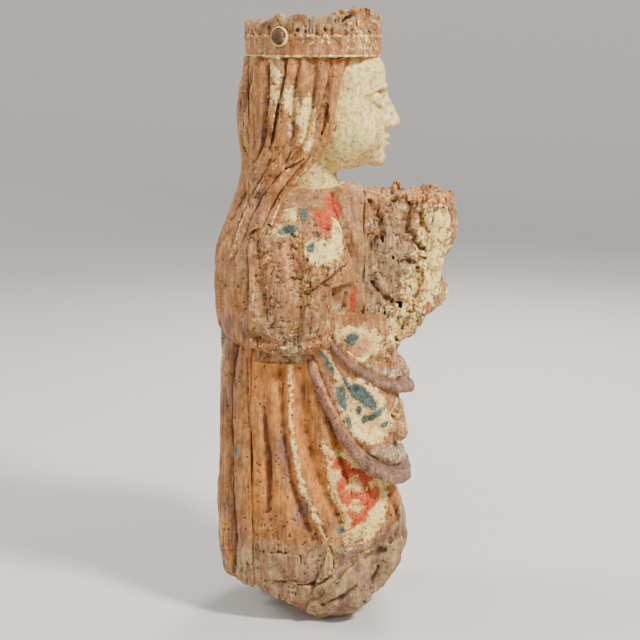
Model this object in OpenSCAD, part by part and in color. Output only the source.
// Carved and painted wooden Madonna, built up from glued and pegged blocks.
// Row frame: origin at the middle of the flat underside, +Z up, the figure faces -Y and its right arm is at -X.

/* [Figure] */
// Height of the front of the crown above the underside
statue_h = 650; // [640:1:660]
// Where the back board meets the front blocks
seam_y = 72; // [68:1:74]
// Thickness of the wood left between the hollow and the skirt
hollow_wall = 32; // [26:1:40]

/* [Crown] */
// Outer radius of the crown's plain band
crown_r = 70; // [68:1:71]
// Thickness of the crown's wall
crown_wall = 13; // [10:1:15]
// Height of the plain band
band_h = 20; // [16:1:24]
// Number of carved blocks round the upper tier
rosettes = 12; // [10:1:14]

/* [Pegs] */
// Radius of the pegs that hold the back board
board_peg_r = 5; // [4:0.5:6]
// Radius of the dowels in the arm and child blocks
dowel_r = 6; // [4:0.5:7]
// Radius of the neck dowel
neck_dowel_r = 11; // [9:0.5:13]
// Gap round every peg in its hole
peg_gap = 0.05; // [0.02:0.01:0.1]

/* [Hidden] */

bare_wood = [0.60, 0.42, 0.27];
grey_wood = [0.50, 0.43, 0.36];
orange_wood = [0.66, 0.43, 0.24];
flesh_paint = [0.80, 0.74, 0.58];
peg_wood = [0.45, 0.31, 0.20];
boss_wood = [0.25, 0.16, 0.14];
gesso = [0.87, 0.79, 0.58];

ring_points = 40;
crown_z = 600;
crown_y = 7;
crown_top = statue_h - 11;
neck_y = 2;
shoulder_z = 466;
far = 400;
patch_y = [22, 60];
patch_z = [52, 82];
patch_depth = 14;
corner_y = [54, 73];
corner_z = [-1, 40];
rosette_w = 18;
tall_rosette = 8;
skull_rise = 34;
skull_ball = 90;
peg_embed = 26;

// Outlines of the trunk block against height: front edge (y), right and left edges (x)
trunk_front = [[0, -60], [12, -70], [30, -82], [60, -90], [90, -92], [120, -84], [150, -70], [200, -60],
               [300, -54], [400, -54], [436, -48], [456, -36], [466, -24]];
trunk_right = [[0, -58], [12, -68], [30, -76], [60, -81], [120, -80], [200, -74], [300, -66], [380, -62],
               [430, -56], [456, -40], [466, -26]];
trunk_left = [[0, 58], [12, 68], [30, 76], [60, 81], [120, 80], [200, 74], [300, 66], [380, 62],
              [430, 56], [456, 40], [466, 26]];
trunk_heights = [0, 12, 30, 60, 90, 120, 150, 200, 250, 300, 350, 400, 436, 456, 466];

// Outlines of the back board against height: back edge (y) and half width (x)
board_back = [[24, 84], [40, 98], [70, 108], [110, 114], [160, 111], [220, 107], [290, 107], [310, 110],
              [345, 114], [375, 115], [410, 105], [445, 94], [470, 86], [500, 83], [540, 88], [575, 86],
              [600, 78]];
board_half = [[24, 62], [40, 72], [70, 80], [110, 82], [160, 80], [220, 76], [290, 76], [310, 90],
              [345, 94], [375, 94], [410, 88], [445, 74], [470, 62], [500, 58], [540, 64], [575, 64],
              [600, 60]];
board_heights = [24, 40, 70, 110, 160, 220, 290, 310, 345, 375, 410, 445, 470, 500, 540, 575, 600];

// Outlines of the hair against height: front edge (y) and half width (x)
hair_front = [[440, 34], [455, 16], [470, 2], [492, -12], [520, -14], [560, -18], [600, -22]];
hair_half = [[440, 58], [455, 60], [470, 60], [492, 58], [520, 62], [560, 65], [600, 60]];
hair_heights = [440, 455, 470, 492, 520, 560, 600];

// Outlines of the face against height: front edge (y) and half width (x)
face_front = [[488, -44], [494, -60], [508, -67], [524, -70], [545, -69], [570, -68], [600, -62]];
face_half = [[488, 16], [494, 26], [508, 36], [524, 42], [545, 46], [570, 48], [600, 48]];
face_heights = [488, 494, 508, 524, 545, 570, 600];

// Side outlines (y, z) of the blocks applied to the front
child_outline = [[-30, 466], [-62, 460], [-92, 458], [-112, 457], [-126, 464], [-138, 461], [-146, 446],
                 [-145, 425], [-140, 402], [-131, 380], [-130, 362], [-122, 340], [-112, 322], [-94, 298],
                 [-84, 290], [-50, 296], [-30, 308]];
upper_fold_outline = [[-10, 303], [-33, 283], [-63, 262], [-86, 250], [-104, 238], [-103, 252],
                      [-92, 272], [-84, 290], [-50, 296], [-30, 308]];
lower_fold_outline = [[20, 300], [2, 255], [-19, 211], [-45, 177], [-75, 152], [-98, 133], [-103, 140],
                      [-100, 160], [-91, 176], [-97, 195], [-91, 206], [-95, 217], [-90, 232],
                      [-104, 238], [-86, 250], [-63, 262], [-33, 283], [-10, 303]];
hem_outline = [[20, -1], [20, 50], [-20, 54], [-50, 66], [-100, 84], [-100, -1]];
arm_outline = [[-10, 303], [40, 300], [seam_y, 306], [seam_y, 436], [50, 450], [10, 452], [-10, 440]];
left_arm_outline = [[-52, 296], [40, 300], [seam_y, 306], [seam_y, 436], [50, 450], [10, 452], [-20, 440],
                    [-52, 380]];

board_peg_places = [[-44, 120], [44, 120], [-48, 262], [48, 262], [-44, 402], [44, 402]];
boss_turn = 28;

// One closed ring of a loft: a superellipse between four edges at height z
function ring(z, x0, x1, y0, y1, square = 2.4) =
    [for (i = [0:ring_points - 1])
        let (t = 360 * (i + 0.5) / ring_points, c = cos(t), s = sin(t))
        [(x0 + x1) / 2 + (x1 - x0) / 2 * sign(c) * pow(abs(c), 2 / square),
         (y0 + y1) / 2 + (y1 - y0) / 2 * sign(s) * pow(abs(s), 2 / square), z]];

// Skins a stack of rings, with flat ends
module loft(rings) {
    n = len(rings[0]);
    m = len(rings);
    sides = [for (k = [0:m - 2]) for (i = [0:n - 1]) let (j = (i + 1) % n)
        each [[k * n + i, (k + 1) * n + i, (k + 1) * n + j], [k * n + i, (k + 1) * n + j, k * n + j]]];
    ends = [[for (i = [0:n - 1]) i], [for (i = [n - 1:-1:0]) (m - 1) * n + i]];
    polyhedron(points = [for (r = rings) each r], faces = concat(sides, ends), convexity = 6);
}

// A side outline in (y, z), drawn across the figure from x0 to x1
module side_prism(outline, x0, x1)
    translate([x0, 0, 0]) rotate([90, 0, 90]) linear_extrude(x1 - x0) polygon(outline);

// Everything in front of the seam
module front_half() translate([-far / 2, -far, -1]) cube([far, far + seam_y, statue_h + 60]);

module trunk() loft([for (z = trunk_heights)
    ring(z, lookup(z, trunk_right), lookup(z, trunk_left), lookup(z, trunk_front), seam_y + 30)]);

module trunk_front_part() intersection() { trunk(); front_half(); }

// A peg along an axis, or its hole when gap is added
module peg(from, turn, length, r, gap = 0)
    translate(from) rotate(turn) cylinder(h = length, r = r + gap, $fn = 48);

module neck_peg(gap = 0) peg([0, neck_y, 426 - gap], [0, 0, 0], 70 + 2 * gap, neck_dowel_r, gap);

module board_pegs(gap = 0)
    for (p = board_peg_places)
        peg([p[0], seam_y - peg_embed - gap, p[1]], [-90, 0, 0], 44 + 2 * gap, board_peg_r, gap);

module arm_dowels(side, gap = 0)
    for (z = [342, 402]) peg([side * (40 - gap), 34, z], [0, side * 90, 0], 36 + 2 * gap, dowel_r, gap);

module left_fall_peg_set(gap = 0)
    for (z = [160, 250]) peg([52 - gap, 42, z], [0, 90, 0], 30 + 2 * gap, board_peg_r, gap);

module child_pegs(gap = 0)
    for (p = [[-8, 420], [22, 352]]) peg([p[0], -28 + gap, p[1]], [90, 0, 0], 60 + 2 * gap, dowel_r, gap);

module fold_peg_set(gap = 0) {
    for (x = [-30, 30]) peg([x, -34 + gap, 190], [90, 0, 0], 40 + 2 * gap, board_peg_r, gap);
    for (x = [-26, 26]) peg([x, -34 + gap, 268], [90, 0, 0], 38 + 2 * gap, board_peg_r, gap);
}

module hem_pegs(gap = 0)
    for (x = [-34, 34]) peg([x, -20, 24 - gap], [0, 0, 0], 66 + 2 * gap, dowel_r, gap);

module crown_peg_set(gap = 0)
    for (a = [20, 160, 200, 340])
        translate([0, crown_y, crown_z + 10]) rotate([0, 0, a]) rotate([0, 90, 0])
            translate([0, 0, crown_r - 26 - gap]) cylinder(h = 22 + 2 * gap, r = 2.5 + gap, $fn = 48);

// The straight-sided repair let into the right of the skirt
module patch_space()
    translate([-100, patch_y[0], patch_z[0]])
        cube([100 - 80 + patch_depth, patch_y[1] - patch_y[0], patch_z[1] - patch_z[0]]);

// The corner let into the right of the base, beside the back board
module corner_space()
    translate([-100, corner_y[0], corner_z[0]])
        cube([100 - 40, corner_y[1] - corner_y[0], corner_z[1] - corner_z[0]]);

// The hollow cut from the back to stop the trunk splitting
module hollow()
    translate([-78 + hollow_wall, 30, 150]) cube([2 * (78 - hollow_wall), seam_y - 20, 150]);

module body_block() color(orange_wood) difference() {
    trunk_front_part();
    side_prism(hem_outline, -110, 110);
    patch_space();
    corner_space();
    hollow();
    neck_peg(peg_gap);
    board_pegs(peg_gap);
    arm_dowels(-1, peg_gap);
    arm_dowels(1, peg_gap);
    left_fall_peg_set(peg_gap);
    child_pegs(peg_gap);
    fold_peg_set(peg_gap);
    hem_pegs(peg_gap);
}

module hem_block() color(grey_wood) difference() {
    intersection() {
        trunk_front_part();
        side_prism(hem_outline, -110, 110);
    }
    hem_pegs(peg_gap);
}

module base_patch() color(grey_wood) intersection() {
    trunk_front_part();
    patch_space();
}

module corner_patch() color(bare_wood) intersection() {
    trunk_front_part();
    corner_space();
}

// The back of mantle and hair, in one long board
module back_board() color(bare_wood) difference() {
    intersection() {
        loft([for (z = board_heights) let (h = lookup(z, board_half))
            ring(z, -h, h, seam_y - 60, lookup(z, board_back), 2.8)]);
        translate([-far / 2, seam_y, 0]) cube([far, far, crown_z]);
    }
    board_pegs(peg_gap);
}

module hair_form() loft([for (z = hair_heights) let (h = lookup(z, hair_half))
    ring(z, -h, h, lookup(z, hair_front), seam_y + 40, 2.6)]);

module face_form() loft([for (z = face_heights) let (h = lookup(z, face_half))
    ring(z, -h, h, lookup(z, face_front), 40, 2.2)]);

module head_form() {
    intersection() { hair_form(); front_half(); }
    face_form();
    translate([0, neck_y, shoulder_z - 6]) cylinder(h = 60, r = 28, $fn = 64);
    skull_top();
}

module head_block() color(flesh_paint) difference() {
    head_form();
    trunk();
    shoulder(-1);
    shoulder(1);
    neck_peg(peg_gap);
}

// A wall of the crown, from angle a0 to a1, with carved blocks that stand above the band
module crown_ring() {
    translate([0, crown_y, crown_z]) difference() {
        union() {
            cylinder(h = band_h, r = crown_r, $fn = 96);
            cylinder(h = crown_top - crown_z - 2, r = crown_r - 3, $fn = 96);
            for (i = [0:rosettes - 1]) rotate([0, 0, 360 * (i + 0.5) / rosettes])
                translate([crown_r - 9, -rosette_w / 2, band_h - 2])
                    cube([8, rosette_w, (i == tall_rosette ? statue_h : crown_top) - crown_z - band_h + 2]);
        }
        translate([0, 0, -1]) cylinder(h = 80, r = crown_r - crown_wall, $fn = 96);
    }
}

// The top of the head inside the crown
module skull_top() translate([0, crown_y, crown_z]) intersection() {
    cylinder(h = skull_rise, r = crown_r - crown_wall, $fn = 96);
    translate([0, 0, skull_rise - skull_ball]) sphere(skull_ball, $fn = 96);
}

module boss_place() translate([0, crown_y, crown_z + 20]) rotate([0, 0, 180 - boss_turn])
    translate([crown_r - 5, 0, 0]) rotate([0, 90, 0]) children();

module boss_hole() boss_place() cylinder(h = 12, r = 10, $fn = 64);

module crown_half(keep_front) difference() {
    intersection() {
        crown_ring();
        translate([-far / 2, keep_front ? -far : seam_y, 0]) cube([far, far + (keep_front ? seam_y : 0), far * 2]);
    }
    boss_hole();
    crown_peg_set(peg_gap);
}

module crown_front() color(bare_wood) crown_half(true);
module crown_back() color(bare_wood) crown_half(false);

module crown_boss_collar() color(gesso) boss_place() difference() {
    cylinder(h = 7, r = 9.9, $fn = 64);
    translate([0, 0, -1]) cylinder(h = 9, r = 7.5, $fn = 64);
}

module crown_boss() color(boss_wood) boss_place() {
    cylinder(h = 6, r = 7.4, $fn = 64);
    translate([0, 0, 6]) cylinder(h = 2.5, r1 = 7.4, r2 = 4.5, $fn = 64);
}

// Shoulder, upper arm and the mantle over them; side is -1 for the right arm and 1 for the left
module shoulder(side) intersection() {
    loft([for (z = [296, 312, 345, 380, 410, 436, 452])
        let (edge = lookup(z, [[296, 84], [312, 94], [345, 98], [380, 94], [410, 86], [436, 70], [452, 52]]),
             low = side < 0 ? -edge : 20, high = side < 0 ? -20 : edge)
        ring(z, low, high, side < 0 ? -26 : -58, seam_y + 40, 3)]);
    side_prism(side < 0 ? arm_outline : left_arm_outline, -110, 110);
    front_half();
}

module right_arm_block() color(bare_wood) difference() {
    shoulder(-1);
    trunk();
    arm_dowels(-1, peg_gap);
}

module left_arm_block() color(bare_wood) difference() {
    shoulder(1);
    trunk();
    arm_dowels(1, peg_gap);
}

// What is left of the child and of the mother's left forearm, broken off at the top
module child_block() color(grey_wood) difference() {
    intersection() {
        side_prism(child_outline, -70, 80);
        loft([for (z = [286, 310, 345, 380, 420, 470])
            let (w = lookup(z, [[286, 50], [310, 58], [345, 62], [380, 60], [420, 54], [470, 46]]))
            ring(z, 6 - w, 10 + w, -150, 20, 3)]);
    }
    trunk();
    shoulder(1);
    child_pegs(peg_gap);
}

module mantle_fold_upper() color(bare_wood) difference() {
    intersection() {
        side_prism(upper_fold_outline, -100, 100);
        loft([for (z = [230, 250, 280, 310]) ring(z, -84, 84, -112, 70, 2.3)]);
    }
    trunk();
    shoulder(1);
    fold_peg_set(peg_gap);
}

// The mantle hanging below the left arm, behind the diagonal folds
module left_mantle_fall() color(grey_wood) difference() {
    loft([for (z = [104, 150, 220, 300])
        ring(z, 40, lookup(z, [[104, 88], [150, 93], [220, 92], [300, 94]]), -34, 68, 3)]);
    trunk();
    shoulder(1);
    side_prism(upper_fold_outline, -100, 100);
    side_prism(lower_fold_outline, -100, 100);
    left_fall_peg_set(peg_gap);
}

module mantle_fold_lower() color(bare_wood) difference() {
    intersection() {
        side_prism(lower_fold_outline, -100, 100);
        loft([for (z = [125, 160, 210, 260, 310])
            let (w = lookup(z, [[125, 90], [160, 88], [210, 84], [260, 80], [310, 76]]))
            ring(z, -w, w, -112, 80, 2.3)]);
    }
    trunk();
    shoulder(1);
    fold_peg_set(peg_gap);
}

module neck_dowel() color(peg_wood) neck_peg();
module back_board_pegs() color(peg_wood) board_pegs();
module right_arm_dowels() color(peg_wood) arm_dowels(-1);
module left_arm_dowels() color(peg_wood) arm_dowels(1);
module child_dowels() color(peg_wood) child_pegs();
module fold_pegs() color(peg_wood) fold_peg_set();
module left_fall_pegs() color(peg_wood) left_fall_peg_set();
module hem_dowels() color(peg_wood) hem_pegs();
module crown_pegs() color(peg_wood) crown_peg_set();

body_block();
back_board();
head_block();
crown_front();
crown_back();
crown_boss();
crown_boss_collar();
right_arm_block();
left_arm_block();
child_block();
mantle_fold_upper();
mantle_fold_lower();
left_mantle_fall();
hem_block();
base_patch();
corner_patch();
neck_dowel();
back_board_pegs();
right_arm_dowels();
left_arm_dowels();
child_dowels();
fold_pegs();
left_fall_pegs();
hem_dowels();
crown_pegs();
